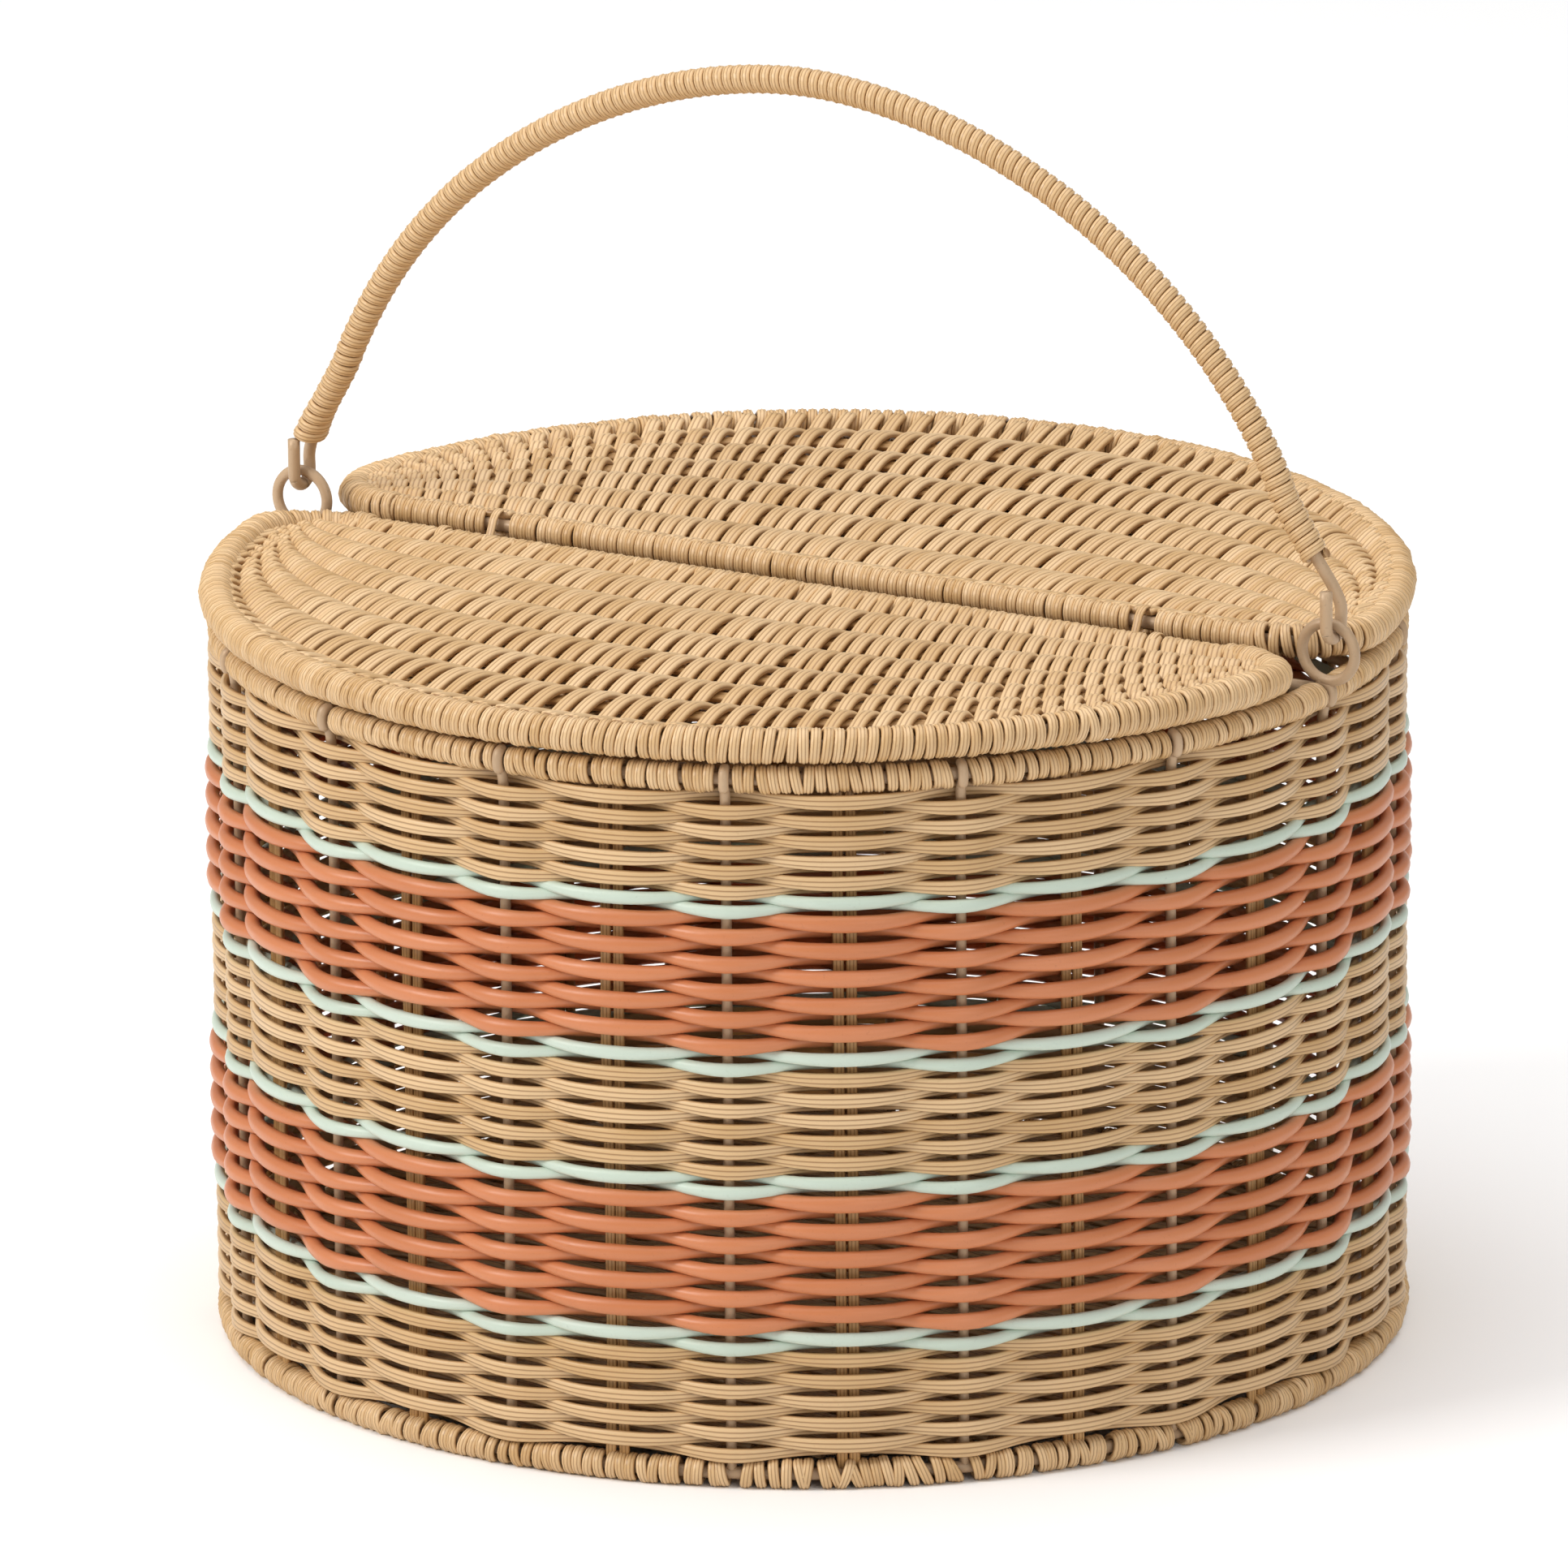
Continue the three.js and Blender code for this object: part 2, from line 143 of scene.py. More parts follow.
class Strands:
    """Collects swept strands into one mesh, each with its own tone and its own strip of the UV map."""

    def __init__(self):
        self.parts = []
        self.groove_shades = []

    def add(self, points, outward, section, closed=False, scale=None, tone=None):
        points = np.asarray(points, float)
        outward = np.broadcast_to(np.asarray(outward, float), points.shape)
        if closed:
            tangent = np.roll(points, -1, 0) - np.roll(points, 1, 0)
        else:
            tangent = np.gradient(points, axis=0)
        tangent = unit(tangent)
        across = unit(np.cross(tangent, outward))
        outward = np.cross(across, tangent)
        scale = np.ones((len(points), 2)) if scale is None else scale
        x = section[None, :, 0] * scale[:, :1]
        y = section[None, :, 1] * scale[:, 1:]
        verts = points[:, None] + across[:, None] * x[..., None] + outward[:, None] * y[..., None]
        tone = rng.random() if tone is None else tone
        self.parts.append((verts, closed, tone))
        self.groove_shades.append(np.tile(section[:, 2], len(points)))

    def build(self, name, material):
        sizes = [v.shape[0] * v.shape[1] for v, _, _ in self.parts]
        starts = np.concatenate([[0], np.cumsum(sizes)])
        strips = strip_layout(self.parts)
        quads, quad_uv, caps, cap_uv = [], [], [], []
        for (verts, closed, _), start, strip in zip(self.parts, starts, strips):
            n, m = verts.shape[:2]
            rows = np.arange(n if closed else n - 1)
            i, k = np.meshgrid(rows, np.arange(m), indexing="ij")
            corners = [(i, k), (i, k + 1), (i + 1, k + 1), (i + 1, k)]
            quads.append(np.stack([start + a % n * m + b % m for a, b in corners], -1).reshape(-1, 4))
            uv = [np.stack([a / max(len(rows), 1), b / m], -1) for a, b in corners]
            quad_uv.append(strip_uv(np.stack(uv, 2).reshape(-1, 2), strip))
            if not closed:
                for cap in (np.arange(m)[::-1] + start, np.arange(m) + start + (n - 1) * m):
                    caps.append(cap)
                    cap_uv.append(strip_uv(np.full((m, 2), 0.5), strip))
        flat = np.concatenate([np.concatenate(quads).reshape(-1)] + caps)
        quad_totals = np.full(sum(map(len, quads)), 4)
        totals = np.concatenate([quad_totals, [len(c) for c in caps]]).astype(np.int32)
        loop_starts = np.concatenate([[0], np.cumsum(totals)[:-1]]).astype(np.int32)
        mesh = bpy.data.meshes.new(name)
        mesh.vertices.add(starts[-1])
        mesh.vertices.foreach_set("co", np.concatenate([v.reshape(-1) for v, _, _ in self.parts]) * MM)
        mesh.loops.add(len(flat))
        mesh.loops.foreach_set("vertex_index", flat.astype(np.int32))
        mesh.polygons.add(len(totals))
        mesh.polygons.foreach_set("loop_start", loop_starts)
        mesh.polygons.foreach_set("use_smooth", np.ones(len(totals), bool))
        uv_map = mesh.uv_layers.new(name="OFBake")
        uv_map.data.foreach_set("uv", np.concatenate(quad_uv + cap_uv).reshape(-1).astype(np.float32))
        tones = np.repeat([t for _, _, t in self.parts], sizes).astype(np.float32)
        mesh.attributes.new("tone", "FLOAT", "POINT").data.foreach_set("value", tones)
        # Per-vertex mask of the painted shade in the rib grooves.
        groove_shades = np.concatenate(self.groove_shades).astype(np.float32)
        mesh.attributes.new("groove_shade", "FLOAT", "POINT").data.foreach_set("value", groove_shades)
        mesh.update(calc_edges=True)
        mesh.materials.append(material)
        piece = bpy.data.objects.new(name, mesh)
        bpy.context.scene.collection.objects.link(piece)
        return piece


def strip_layout(parts):
    """One strip of the unit square for each strand: (left, bottom, width, height)."""
    length = np.mean([np.linalg.norm(np.diff(v[:, 0], axis=0), axis=1).sum() for v, _, _ in parts])
    girth = np.mean([np.linalg.norm(np.diff(v[0], axis=0), axis=1).sum() for v, _, _ in parts])
    columns = max(1, round(math.sqrt(len(parts) * girth / length)))
    rows = math.ceil(len(parts) / columns)
    cells = [(i % columns, i // columns) for i in range(len(parts))]
    return [(column / columns, row / rows, 1 / columns, 1 / rows) for column, row in cells]


def strip_uv(uv, strip):
    left, bottom, width, height = strip
    return np.array([left, bottom]) + (0.02 + 0.96 * uv) * np.array([width, height])


# ---- materials ----

PAINTED_GROOVE_SHADE = (0.22, 0.09, 0.022)    # painted shade: the dark colour laid down in the grooves of a ribbed strand


def mixed(nodes, links, factor, a, b):
    mix = nodes.new("ShaderNodeMix")
    mix.data_type = "RGBA"
    for socket, value in ((0, factor), (6, a), (7, b)):
        if hasattr(value, "is_output"):
            links.new(value, mix.inputs[socket])
        else:
            mix.inputs[socket].default_value = value
    return mix.outputs[2]


def noise(nodes, scale, detail=3):
    """Noise over the object's own coordinates."""
    links = nodes.id_data.links
    place = nodes.new("ShaderNodeTexCoord")
    texture = nodes.new("ShaderNodeTexNoise")
    texture.inputs["Scale"].default_value = scale
    texture.inputs["Detail"].default_value = detail
    links.new(place.outputs["Object"], texture.inputs["Vector"])
    return texture.outputs["Fac"]


def spread(nodes, value, low_edge, high_edge):
    ramp = nodes.new("ShaderNodeMapRange")
    ramp.inputs["From Min"].default_value = low_edge
    ramp.inputs["From Max"].default_value = high_edge
    nodes.id_data.links.new(value, ramp.inputs["Value"])
    return ramp.outputs["Result"]


def strand_material(name, pale, deep, roughness, bump, sheen=0.0, metallic=0.0, speck=0.25):
    """Colour drifts from strand to strand and along each strand, with painted shade down in the rib grooves,
    fine specks, scuffs and a soft bump.
    """
    material = bpy.data.materials.new(name)
    material.use_nodes = True
    nodes, links = material.node_tree.nodes, material.node_tree.links
    shader = nodes["Principled BSDF"]
    tone = nodes.new("ShaderNodeAttribute")
    tone.attribute_name = "tone"
    colour = mixed(nodes, links, tone.outputs["Fac"], (*deep, 1), (*pale, 1))
    drift = spread(nodes, noise(nodes, 38, 2), 0.35, 0.7)
    colour = mixed(nodes, links, drift, colour, mixed(nodes, links, 0.5, colour, (*pale, 1)))
    groove_shade = nodes.new("ShaderNodeAttribute")
    groove_shade.attribute_name = "groove_shade"
    # Painted shade: down in the rib grooves the colour is mixed toward a dark brown.
    colour = mixed(nodes, links, spread(nodes, groove_shade.outputs["Fac"], 0.5, 1.15), colour, (*PAINTED_GROOVE_SHADE, 1))
    specks = spread(nodes, noise(nodes, 900, 4), 0.62, 0.8)
    scuffed = mixed(nodes, links, speck, colour, (*(0.55 * np.array(deep)), 1))
    colour = mixed(nodes, links, specks, colour, scuffed)
    links.new(colour, shader.inputs["Base Color"])
    rough = nodes.new("ShaderNodeMapRange")
    rough.inputs["To Min"].default_value = roughness - 0.08
    rough.inputs["To Max"].default_value = roughness + 0.12
    links.new(noise(nodes, 240, 3), rough.inputs["Value"])
    links.new(rough.outputs["Result"], shader.inputs["Roughness"])
    relief = nodes.new("ShaderNodeBump")
    relief.inputs["Strength"].default_value = bump
    relief.inputs["Distance"].default_value = 0.0004
    links.new(noise(nodes, 700, 4), relief.inputs["Height"])
    links.new(relief.outputs["Normal"], shader.inputs["Normal"])
    shader.inputs["Metallic"].default_value = metallic
    shader.inputs["Specular IOR Level"].default_value = 0.4
    if sheen:
        shader.inputs["Coat Weight"].default_value = sheen
        shader.inputs["Coat Roughness"].default_value = 0.35
    return material


NATURAL = strand_material(
    "natural_strand", (0.73, 0.505, 0.275), (0.58, 0.36, 0.155), 0.38, 0.2, sheen=0.12)
# Painted shade: the stakes get a darker, more saturated brown than the natural strands, standing in for the
# shade of the crevices they lie in.
SHADED_STAKE = strand_material("stake_strand", (0.60, 0.36, 0.15), (0.44, 0.23, 0.075), 0.45, 0.2)
CORAL_LOOK = strand_material(
    "coral_strand", (0.59, 0.215, 0.09), (0.52, 0.175, 0.065), 0.36, 0.12, sheen=0.12)
MINT_LOOK = strand_material("mint_strand", (0.56, 0.64, 0.55), (0.50, 0.59, 0.49), 0.38, 0.1, sheen=0.1)
WIRE_LOOK = strand_material(
    "frame_wire", (0.52, 0.36, 0.22), (0.40, 0.27, 0.16), 0.4, 0.3, metallic=0.1, speck=0.5)

# ---- paths ----


def wobble(count, size, waves, closed=True):
    """A smooth random drift of about `size`, for strands that were laid by hand."""
    t = np.linspace(0, 2 * math.pi, count, endpoint=not closed)
    total = np.zeros(count)
    for k in range(1, waves + 1):
        total += rng.normal() * np.sin(k * t + rng.random() * 2 * math.pi) / math.sqrt(k)
    return size * total / math.sqrt(waves)


def weave_wave(place):
    """-1 behind a wire at whole places, +1 in front of the stake pair midway; closer round a wire."""
    sharpness = 0.13
    wave = -np.cos(2 * math.pi * place)
    return wave - sharpness * (np.cos(4 * math.pi * place) - 1)


def wall_row(strands, z, front_of_pairs, section, amplitude):
    steps = 10
    count = UPRIGHTS * 2 * steps
    angle = np.arange(count) * 2 * math.pi / count
    wave = weave_wave(angle * UPRIGHTS / (2 * math.pi)) * (1 if front_of_pairs else -1)
    radius = RING_R + amplitude * wave + wobble(count, 0.25, 24)
    height = z + wobble(count, 0.3, 20) - 0.45 * wave
    outward = np.stack([np.cos(angle), np.sin(angle), np.zeros(count)], 1)
    points = outward * radius[:, None] + np.array([0, 0, 1]) * height[:, None]
    pinch = 0.84 + 0.2 * wave ** 2
    strands.add(points, outward, section, closed=True, scale=np.stack([pinch, 2 - pinch], 1))


def loop(strands, centre, along, outward, radius, lean):
    """One turn of strand round a wire that runs `along`."""
    along, outward = unit(np.asarray(along)), unit(np.asarray(outward))
    third = np.cross(along, outward)
    a = np.arange(TURN_STEPS) * 2 * math.pi / TURN_STEPS
    radial = np.cos(a)[:, None] * outward + np.sin(a)[:, None] * third
    points = centre + radius * radial + (lean * np.sin(a))[:, None] * along
    strands.add(points, radial, WRAP_SECTION, closed=True)


def arc_lengths(points):
    return np.concatenate([[0], np.cumsum(np.linalg.norm(np.diff(points, axis=0), axis=1))])


def resample(points, spacing):
    s = arc_lengths(points)
    count = max(2, round(s[-1] / spacing) + 1)
    at = np.linspace(0, s[-1], count)
    return np.stack([np.interp(at, s, points[:, i]) for i in range(3)], 1)


def smooth_curve(points, per_span=8):
    """A Catmull-Rom curve through the points."""
    p = np.asarray(points, float)
    p = np.concatenate([[2 * p[0] - p[1]], p, [2 * p[-1] - p[-2]]])
    out = []
    for a, b, c, d in zip(p, p[1:], p[2:], p[3:]):
        t = np.linspace(0, 1, per_span, endpoint=False)[:, None]
        out.append(0.5 * (2 * b + (c - a) * t + (2 * a - 5 * b + 4 * c - d) * t ** 2
                          + (3 * b - a - 3 * c + d) * t ** 3))
    return np.concatenate(out + [p[-2:-1]])


# ---- basket wall ----


def finish_piece(strands, name, material, body, slot, *nodes):
    piece = strands.build(name, material)
    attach(piece, body)
    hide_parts(*nodes)
    return piece


def wall_band(node, rows, section, amplitude, material, slot):
    strands = Strands()
    bottom, top = low(node)[2] - 0.15, high(node)[2] + 0.15
    pitch = (top - bottom) / rows
    for i in range(rows):
        z = top - (i + 0.5) * pitch
        wall_row(strands, z, i % 2 == 0, section, amplitude)
    finish_piece(strands, "strands_" + node, material, "basket", slot, node)


for band in ("top", "middle", "base"):
    wall_band("weave_natural_" + band, BAND_ROWS, ribbed(*STRAND), SWING["natural"], NATURAL,
              "natural_strand")
for band in ("upper", "lower"):
    wall_band("weave_coral_" + band, BAND_ROWS, oval(*CORAL), SWING["coral"], CORAL_LOOK, "coral_strand")
for band in range(1, 5):
    wall_band(f"weave_mint_{band}", MINT_ROWS, oval(*MINT), SWING["mint"], MINT_LOOK, "mint_strand")

# Each upright wire passes outside the top ring and is bent over it: (outward of the ring's circle, height).
WIRE_RUN = [(0, BASE_Z), (0, BASE_Z + 40), (0, TOP_Z - 60), (0.3, TOP_Z - 9), (3.4, TOP_Z - 2),
            (3.2, TOP_Z + 2.2), (0.4, TOP_Z + 3.6)]


def circle(radius, z):
    count = 192
    a = np.arange(count) * 2 * math.pi / count
    outward = np.stack([np.cos(a), np.sin(a), np.zeros(count)], 1)
    return outward * radius + np.array([0, 0, z]), outward


def uprights_and_rings():
    """The stake pairs, and the welded frame of upright wires and two rings."""
    stakes, wires = Strands(), Strands()
    steps = 24
    z = np.linspace(BASE_Z, TOP_Z, steps)[:, None] * np.array([0, 0, 1])
    for i in range(UPRIGHTS):
        for offset, is_pair in ((0.5, True), (0, False)):
            angle = (i + offset) * 2 * math.pi / UPRIGHTS
            outward = np.array([math.cos(angle), math.sin(angle), 0])
            side = np.array([-math.sin(angle), math.cos(angle), 0])
            if is_pair:
                for across in (-PAIR_HALF_GAP, PAIR_HALF_GAP):
                    bow = wobble(steps, 0.35, 3, closed=False)[:, None] * side
                    points = outward * RING_R + side * across + bow + z
                    stakes.add(points, outward, ribbed(*PAIR_STRAND))
            else:
                line = [outward * (RING_R + out) + np.array([0, 0, height]) for out, height in WIRE_RUN]
                wires.add(smooth_curve(line), side, oval(UPRIGHT_WIRE, UPRIGHT_WIRE))
    finish_piece(stakes, "wall_stakes", SHADED_STAKE, "basket", "stake_strand",
                 *[f"stake_pair_{i:02d}" for i in range(1, UPRIGHTS + 1)])
    for z in (TOP_Z, BASE_Z):
        points, outward = circle(RING_R, z)
        wires.add(points, outward, oval(FRAME_WIRE, FRAME_WIRE), closed=True)
    finish_piece(wires, "frame_wires", WIRE_LOOK, "basket", "frame_wire", "steel_frame")


uprights_and_rings()


def ring_wrap(z, gap_at_wires, looseness):
    """Turns of strand round a frame ring, broken at the uprights; looser turns lean and wander more."""
    strands = Strands()
    bay = 2 * math.pi / UPRIGHTS
    clear = gap_at_wires / RING_R
    turns = round((bay - 2 * clear) * RING_R / WRAP_PITCH)
    for i in range(UPRIGHTS):
        lean = 0.3 + 0.3 * looseness * rng.normal()
        slack = looseness * rng.random()
        for k in range(turns):
            place = k + 0.5 + (0.08 + 0.16 * slack) * rng.normal()
            angle = i * bay + clear + (bay - 2 * clear) * place / turns
            outward = np.array([math.cos(angle), math.sin(angle), 0])
            along = np.array([-math.sin(angle), math.cos(angle), 0])
            centre = outward * (RING_R + 0.15 * rng.normal()) + np.array([0, 0, z + 0.12 * rng.normal()])
            radius = RING_TURN + 0.45 * slack * rng.random()
            loop(strands, centre, along, outward, radius, lean + (0.25 + 0.9 * slack) * rng.normal())
    return strands


finish_piece(ring_wrap(TOP_Z, gap_at_wires=2.5, looseness=0.1), "top_ring_turns", NATURAL, "basket",
             "natural_strand", "top_ring_wrap_front", "top_ring_wrap_back")
finish_piece(ring_wrap(BASE_Z, gap_at_wires=1.0, looseness=1.0), "base_ring_turns", NATURAL, "basket",
             "natural_strand", "base_ring_wrap")

# ---- floor ----


def floor():
    strands, ribs = Strands(), Strands()
    reach = high("floor_weave")[0] - 1
    z = mid("floor_weave")[2]
    pitch, rib_pitch = 4.4, 24.0
    for k, y in enumerate(np.arange(-reach + 4, reach - 3, pitch)):
        half = math.sqrt(reach ** 2 - y ** 2)
        x = np.arange(-half, half, rib_pitch / 6)
        if len(x) > 4:
            lift = np.cos(math.pi * x / rib_pitch + math.pi * (k % 2))
            points = np.stack([x, np.full_like(x, y), z + 1.1 * lift], 1)
            strands.add(points, (0, 0, 1), ribbed(*STRAND, depth=0.2))
    for x in np.arange(-7, 8) * rib_pitch:
        half = math.sqrt(max(reach ** 2 - x ** 2, 400)) - 1
        y = np.linspace(-half, half, 12)
        ribs.add(np.stack([np.full_like(y, x), y, np.full_like(y, z)], 1), (0, 0, 1), oval(*FLOOR_STAKE))
    finish_piece(strands, "floor_strands", NATURAL, "basket", "natural_strand", "floor_weave")
    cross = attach(ribs.build("floor_stakes", SHADED_STAKE), "basket")


floor()


def rod(strands, a, b, radius, steps=12):
    """A straight round rod from a to b."""
    strands.add(np.linspace(a, b, steps), (0.1, 0.2, 1), oval(2 * radius, 2 * radius))


rods = Strands()
reach, z = high("floor_wires")[0], mid("floor_wires")[2]
rod(rods, (-reach, 0, z), (reach, 0, z), FLOOR_WIRE / 2)
rod(rods, (0, -reach, z), (0, reach, z), FLOOR_WIRE / 2)
finish_piece(rods, "floor_rods", WIRE_LOOK, "basket", "frame_wire", "floor_wires")
rods = Strands()
reach, z = high("crossbar")[0], mid("crossbar")[2]
rod(rods, (-reach, 0, z), (reach, 0, z), CROSSBAR / 2, 24)
finish_piece(rods, "crossbar_rod", WIRE_LOOK, "basket", "frame_wire", "crossbar")

# ---- lids ----

LIDS = {"front": -1, "back": 1}
LID_SECTION = ribbed(*LID_STRAND)
LID_STAKES = sum(name.startswith("lid_front_stake") for name in frame["nodes"])


def lid_outline(lid):
    """The D from one end of the bar round the rim to the other, in plan and height."""
    side = LIDS[lid]
    bar_y = abs(mid(f"lid_{lid}_bar_wrap")[1])
    bar_z = mid(f"lid_{lid}_bar_wrap")[2]
    centre_y = bar_y + LID_CORNER
    centre_x = math.sqrt((RIM_R - LID_CORNER) ** 2 - centre_y ** 2)
    turn = math.atan2(centre_y, centre_x)
    corner = np.linspace(-math.pi / 2, turn, 14)
    rim = np.linspace(turn, math.pi - turn, 160)[1:-1]
    right = np.stack([centre_x + LID_CORNER * np.cos(corner), centre_y + LID_CORNER * np.sin(corner)], 1)
    edge = np.stack([np.cos(rim), np.sin(rim)], 1) * RIM_R
    plan = np.concatenate([right, edge, (right * [-1, 1])[::-1]])
    share = np.clip((plan[:, 1] - bar_y) / LID_CORNER, 0, 1)
    height = bar_z + (rim_wire_z(lid) - bar_z) * share ** 2 * (3 - 2 * share)
    return np.stack([plan[:, 0], side * plan[:, 1], height], 1), centre_x, bar_y, bar_z


def rim_wire_z(lid):
    wrap = f"lid_{lid}_rim_wrap"
    return mid(wrap)[2] if lid == "back" else high(wrap)[2] - RIM_WRAP_R


def turns_along(strands, line, radius, pitch):
    """Turns of strand round a wire that runs along `line`, all leaning one way and bunched here and there."""
    places = resample(line, pitch)
    along = unit(np.gradient(places, axis=0))
    drift = wobble(len(places), 0.35, 30, closed=False)
    for point, direction, shift in zip(places, along, drift):
        centre = point + rng.normal(size=3) * 0.1 + direction * shift
        outward = np.cross(direction, (0, 0, 1))
        loop(strands, centre, direction, outward, radius + 0.12 * rng.normal(), 0.6 + 0.3 * rng.normal())


def lid_surface_z(lid, depth_share):
    """Middle height of the weave, from the bar at 0 to the rim at 1."""
    bar_z = mid(f"lid_{lid}_bar_wrap")[2]
    return bar_z + (rim_wire_z(lid) + 1.0 - bar_z) * depth_share


def make_lid(lid):
    side = LIDS[lid]
    body, up = lid + "_lid", np.array([0, 0, 1.0])
    line, centre_x, bar_y, bar_z = lid_outline(lid)
    frame_wire, rim, bar, weave, stakes = (Strands() for _ in range(5))
    ends = np.array([[-centre_x, side * bar_y, bar_z], [centre_x, side * bar_y, bar_z]])
    straight = np.linspace(*ends, 40)[1:-1]
    frame_wire.add(np.concatenate([line, straight]), up, oval(FRAME_WIRE, FRAME_WIRE), closed=True)
    turns_along(rim, line, RIM_TURN, WRAP_PITCH)
    ties = [mid(f"hinge_tie_{lid}_{c}")[0] for c in "ab"]
    for point in resample(ends, BAR_PITCH):
        if min(abs(point[0] - x) for x in ties) > TIE_CLEARANCE:
            centre = point + rng.normal(size=3) * 0.08
            loop(bar, centre, (1, 0, 0), (0, 0, 1), BAR_TURN, 0.5 + 0.2 * rng.normal())
    half_stake = 1.9
    outer_edge = low if side < 0 else high
    depths = [abs(outer_edge(f"lid_{lid}_stake_{k}")[1]) - half_stake for k in range(1, LID_STAKES + 1)]
    near, far = bar_y + 4, RIM_R - 5
    for depth in depths:
        angle = np.radians(np.linspace(-80, 80, 41))
        for across in (-LID_STAKE_HALF_GAP, LID_STAKE_HALF_GAP):
            y = near + (depth - near) * np.cos(angle) + across * np.cos(angle)
            share = (y - near) / (far - near)
            points = np.stack([(far - 3) * np.sin(angle), side * y, lid_surface_z(lid, share)], 1)
            stakes.add(points, up, ribbed(*LID_STAKE_STRAND))
    for j in range(LID_STRANDS):
        u = 2 * (j + 0.5) / LID_STRANDS - 1 + 0.002 * rng.normal()
        weave.add(*lid_strand(lid, u, j % 2, depths, centre_x, bar_y, near, far), LID_SECTION)
    finish_piece(frame_wire, f"lid_{lid}_wire", WIRE_LOOK, body, "frame_wire", f"lid_{lid}_frame")
    finish_piece(rim, f"lid_{lid}_rim_turns", NATURAL, body, "natural_strand", f"lid_{lid}_rim_wrap")
    finish_piece(bar, f"lid_{lid}_bar_turns", NATURAL, body, "natural_strand", f"lid_{lid}_bar_wrap")
    finish_piece(weave, f"lid_{lid}_strands", NATURAL, body, "natural_strand", f"lid_{lid}_weave")
    finish_piece(stakes, f"lid_{lid}_stakes", SHADED_STAKE, body, "stake_strand",
                 *[f"lid_{lid}_stake_{k}" for k in range(1, LID_STAKES + 1)])


def lid_strand(lid, u, odd, depths, centre_x, bar_y, near, far):
    """A strand from round the bar to under the rim's turns, over and under the stakes in turn."""
    side = LIDS[lid]
    start_x = (centre_x + LID_CORNER - 4) * u
    over = min(max(0.0, abs(start_x) - centre_x) / LID_CORNER, 1)
    start = np.array([start_x, bar_y + LID_CORNER * (1 - math.sqrt(1 - over ** 2))])
    angle = math.radians(81 * u)
    end = np.array([math.sin(angle), math.cos(angle)]) * (RIM_R - 2.5)
    t = np.linspace(0, 1, 72)
    plan = start + (end - start) * t[:, None]
    # The stakes bow from corner to corner, so a place's row depends on how far out it lies.
    bow = np.sqrt(np.clip(1 - (plan[:, 0] / (far - 3)) ** 2, 0.02, 1))
    depth = near + (plan[:, 1] - near) / bow
    rows = np.concatenate([[bar_y], depths, [RIM_R - 1]])
    place = np.interp(depth, rows, np.arange(len(rows)))
    last = len(rows) - 1
    place[0], place[-1] = 0, last
    height = np.interp(place, [0, 1, last - 1, last], [3.4, LID_AMPLITUDE, LID_AMPLITUDE, 3.2])
    share = np.clip((plan[:, 1] - near) / (far - near), 0, 1)
    z = lid_surface_z(lid, share) + height * np.cos(math.pi * (place + odd))
    return np.stack([plan[:, 0], side * plan[:, 1], z], 1), (0, 0, 1)


for lid in LIDS:
    make_lid(lid)

# ---- handle, eyes and ties ----

EYES = {"left": -1, "right": 1}


def make_eye(name, side):
    strands = Strands()
    lo, hi = low("eye_" + name), high("eye_" + name)
    wire = (hi[1] - lo[1]) / 2
    radius = (hi[0] - lo[0]) / 2 - wire
    centre = np.array([(lo[0] + hi[0]) / 2, 0, hi[2] - wire - radius])
    a = np.linspace(0, 2 * math.pi, 48, endpoint=False)
    ring = np.stack([np.cos(a), 0 * a, np.sin(a)], 1)
    strands.add(centre + radius * ring, ring, oval(2 * wire, 2 * wire), closed=True)
    foot_x = centre[0] - side * 2.5
    rod(strands, (foot_x, 0, lo[2]), (foot_x, 0, centre[2] - radius + wire / 2), wire)
    finish_piece(strands, "eye_wire_" + name, WIRE_LOOK, "basket", "frame_wire", "eye_" + name)


for name, side in EYES.items():
    make_eye(name, side)


def make_tie(node, lid):
    """A strand looped round the lid's bar and the crossbar."""
    strands = Strands()
    x = mid(node)[0]
    bar = np.array([x, mid(f"lid_{lid}_bar_wrap")[1], mid(f"lid_{lid}_bar_wrap")[2]])
    cross = np.array([x, 0, mid("crossbar")[2]])
    apart = unit(cross - bar)
    side = np.cross([1.0, 0, 0], apart)
    round_bar, round_crossbar = 4.8, 3.65
    outline = []
    for a in np.linspace(-1.9, 1.9, 12):
        outline.append(bar + round_bar * (-math.cos(a) * apart + math.sin(a) * side))
    for a in np.linspace(1.2, -1.2, 8):
        outline.append(cross + round_crossbar * (math.cos(a) * apart + math.sin(a) * side))
    outline = np.array(outline)
    centre = outline.mean(0)
    strands.add(outline, unit(outline - centre), ribbed(*TIE_STRAND, depth=0.12), closed=True)
    finish_piece(strands, node + "_strand", NATURAL, "basket", "natural_strand", node)


for lid in LIDS:
    for c in "ab":
        make_tie(f"hinge_tie_{lid}_{c}", lid)


def frame_pivot(joint):
    return np.array(next(j["pos_m"] for j in frame["joints"] if j["name"] == joint)) / MM


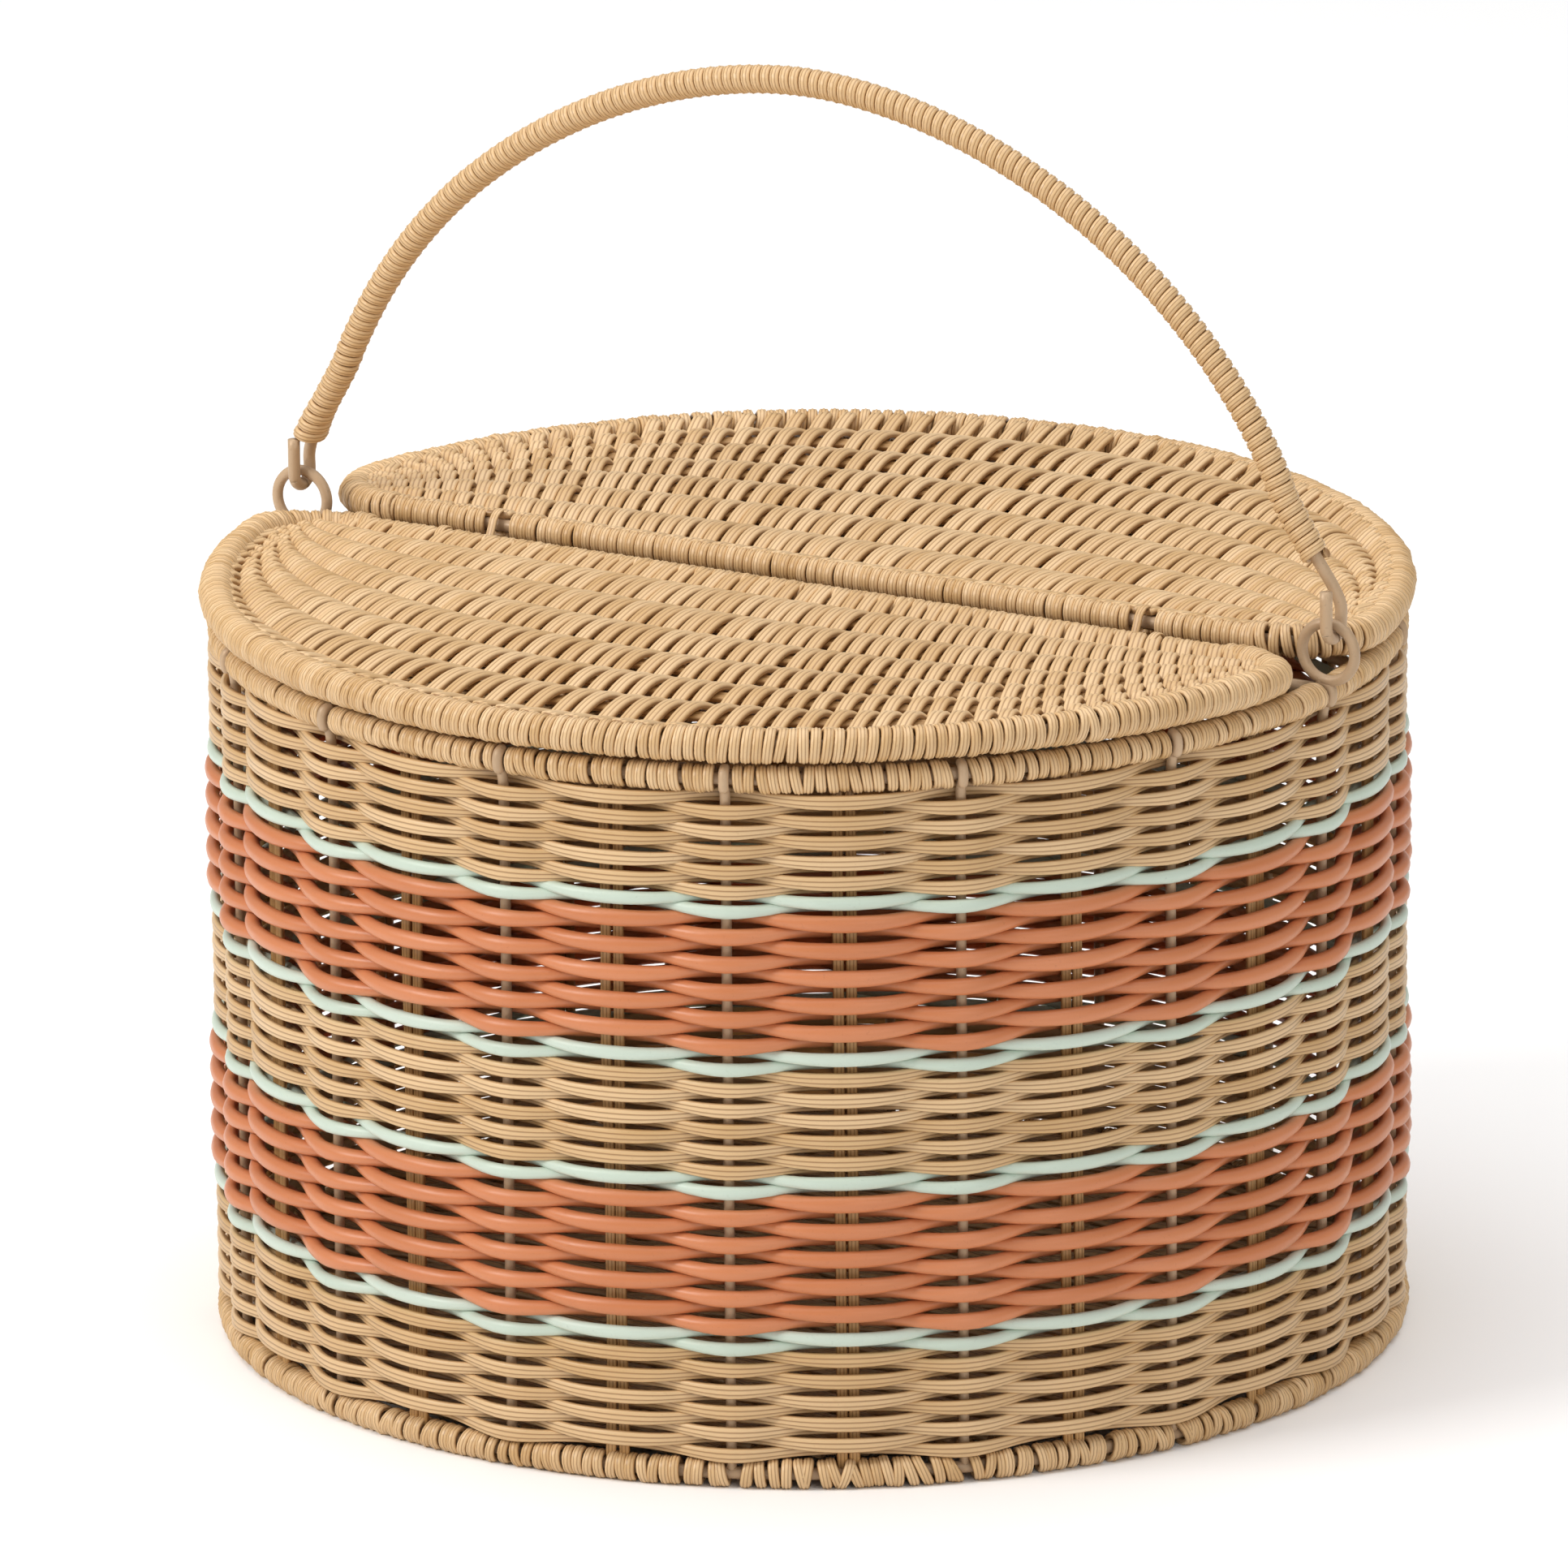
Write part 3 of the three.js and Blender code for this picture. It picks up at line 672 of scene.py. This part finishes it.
def handle_half(side):
    """The handle's line from its apex down to the cut end of the hook."""
    apex = high("handle_wrap")[2] - HANDLE_WRAP_R
    wire_low = low("handle_wire")[2] + HANDLE_WIRE / 2
    pivot_z = frame_pivot("handle_swing")[2]
    radius = pivot_z - wire_low
    eye_x = high("handle_wire")[0] - HANDLE_WIRE / 2
    half_width, base_z, power = 181.0, 241.0, 1.85
    arch_from = pivot_z + 34
    points = []
    for degrees in range(90, 8, -3):
        a = math.radians(degrees)
        z = base_z + (apex - base_z) * math.sin(a) ** (2 / power)
        if z > arch_from:
            points.append((side * half_width * math.cos(a) ** (2 / power), 0, z))
    points += [(side * (eye_x - 6.6), 1.2, pivot_z + 20), (side * (eye_x - 2.2), 3.6, pivot_z + 11),
               (side * eye_x, radius, pivot_z + 5)]
    points += [(side * eye_x, radius * math.cos(a), pivot_z + radius * math.sin(a))
               for a in np.linspace(0, -math.pi, 9)]
    points.append((side * eye_x, -radius, pivot_z + 11.2))
    if side < 0:
        points = [(x + LEFT_TUCK * min(max((350 - z) / 50, 0), 1), y, z) for x, y, z in points]
    return points


handle_line = smooth_curve(handle_half(-1)[::-1][:-1] + handle_half(1), 4)
strands = Strands()
strands.add(handle_line, (0.05, 1, 0.1), oval(HANDLE_WIRE, HANDLE_WIRE))
finish_piece(strands, "handle_rod", WIRE_LOOK, "handle", "frame_wire", "handle_wire")


def handle_wrap():
    """One long strand wound along the handle; its turns swell over both legs of the left hook."""
    strands = Strands()
    pivot_z = frame_pivot("handle_swing")[2]
    ends = {-1: pivot_z + 10, 1: pivot_z + 19}
    on_leg = handle_line[:, 1] > -0.5
    above = np.where(handle_line[:, 0] < 0, ends[-1], ends[1])
    wrapped = handle_line[on_leg & (handle_line[:, 2] > above)]
    length = arc_lengths(wrapped)[-1]
    steps = int(length / WRAP_PITCH * TURN_STEPS)
    s = np.linspace(0, length, steps)
    base = np.stack([np.interp(s, arc_lengths(wrapped), wrapped[:, i]) for i in range(3)], 1)
    swell = np.clip(1 - (base[:, 2] - ends[-1]) / 14, 0, 1) * (base[:, 0] < 0)
    base[:, 1] -= 0.75 * base[:, 1] * swell
    along = unit(np.gradient(base, axis=0))
    across = np.array([0, 1.0, 0])
    third = np.cross(along, across)
    phase = 2 * math.pi * s / WRAP_PITCH + wobble(steps, 0.5, 40, closed=False)
    radial = np.cos(phase)[:, None] * across * (1 + 0.55 * swell)[:, None] + np.sin(phase)[:, None] * third
    radius = HANDLE_TURN + 0.5 * swell + wobble(steps, 0.07, 60, closed=False)
    points = base + radial * radius[:, None]
    strands.add(points, radial, WRAP_SECTION)
    finish_piece(strands, "handle_turns", NATURAL, "handle", "natural_strand", "handle_wrap")


handle_wrap()

# ---- studio ----


def camera():
    """A long lens from in front of the basket, to the right and a little above."""
    azimuth, elevation, roll = math.radians(30.6), math.radians(16.23), math.radians(0.5)
    distance, shift_right, shift_up = 6, -0.00795, 0.04934
    right = Vector((math.cos(azimuth), math.sin(azimuth), 0))
    back = Vector((math.sin(azimuth) * math.cos(elevation), -math.cos(azimuth) * math.cos(elevation),
                   math.sin(elevation)))
    up = back.cross(right)
    aim = Vector((0, 0, 0.12)) + shift_right * right + shift_up * up
    data = bpy.data.cameras.new("camera")
    data.lens = 438
    data.sensor_width = 36
    data.clip_end = 50
    viewer = bpy.data.objects.new("camera", data)
    tilted_right = right * math.cos(roll) - up * math.sin(roll)
    tilted_up = up * math.cos(roll) + right * math.sin(roll)
    axes = Matrix((tilted_right, tilted_up, back)).transposed().to_4x4()
    viewer.matrix_world = Matrix.Translation(aim + distance * back) @ axes
    bpy.context.scene.collection.objects.link(viewer)
    bpy.context.scene.camera = viewer


def area_light(name, place, size, power, colour=(1, 1, 1)):
    data = bpy.data.lights.new(name, "AREA")
    data.size = size
    data.energy = power
    data.color = colour
    lamp = bpy.data.objects.new(name, data)
    lamp.location = place
    lamp.rotation_euler = (Vector((0, 0, 0.15)) - Vector(place)).to_track_quat("-Z", "Y").to_euler()
    bpy.context.scene.collection.objects.link(lamp)


def studio():
    mesh = bpy.data.meshes.new("studio_floor")
    mesh.from_pydata([(-12, -12, 0), (12, -12, 0), (12, 12, 0), (-12, 12, 0)], [], [(0, 1, 2, 3)])
    ground = bpy.data.objects.new("studio_floor", mesh)
    bpy.context.scene.collection.objects.link(ground)
    paper = bpy.data.materials.new("studio_paper")
    paper.use_nodes = True
    paper.node_tree.nodes["Principled BSDF"].inputs["Base Color"].default_value = (0.97, 0.97, 0.97, 1)
    paper.node_tree.nodes["Principled BSDF"].inputs["Roughness"].default_value = 0.9
    mesh.materials.append(paper)
    world = bpy.data.worlds.new("studio")
    bpy.context.scene.world = world
    world.use_nodes = True
    world.node_tree.nodes["Background"].inputs["Color"].default_value = (1, 1, 1, 1)
    world.node_tree.nodes["Background"].inputs["Strength"].default_value = 0.38
    area_light("key", (-1.5, -2.0, 1.9), 1.2, 50, (1, 0.98, 0.955))
    area_light("fill", (2.2, -1.4, 1.2), 1.8, 14, (1, 0.98, 0.955))
    area_light("top", (-0.2, 0.3, 3.4), 4.2, 104)
    bpy.context.scene.view_settings.view_transform = "Standard"


camera()
studio()
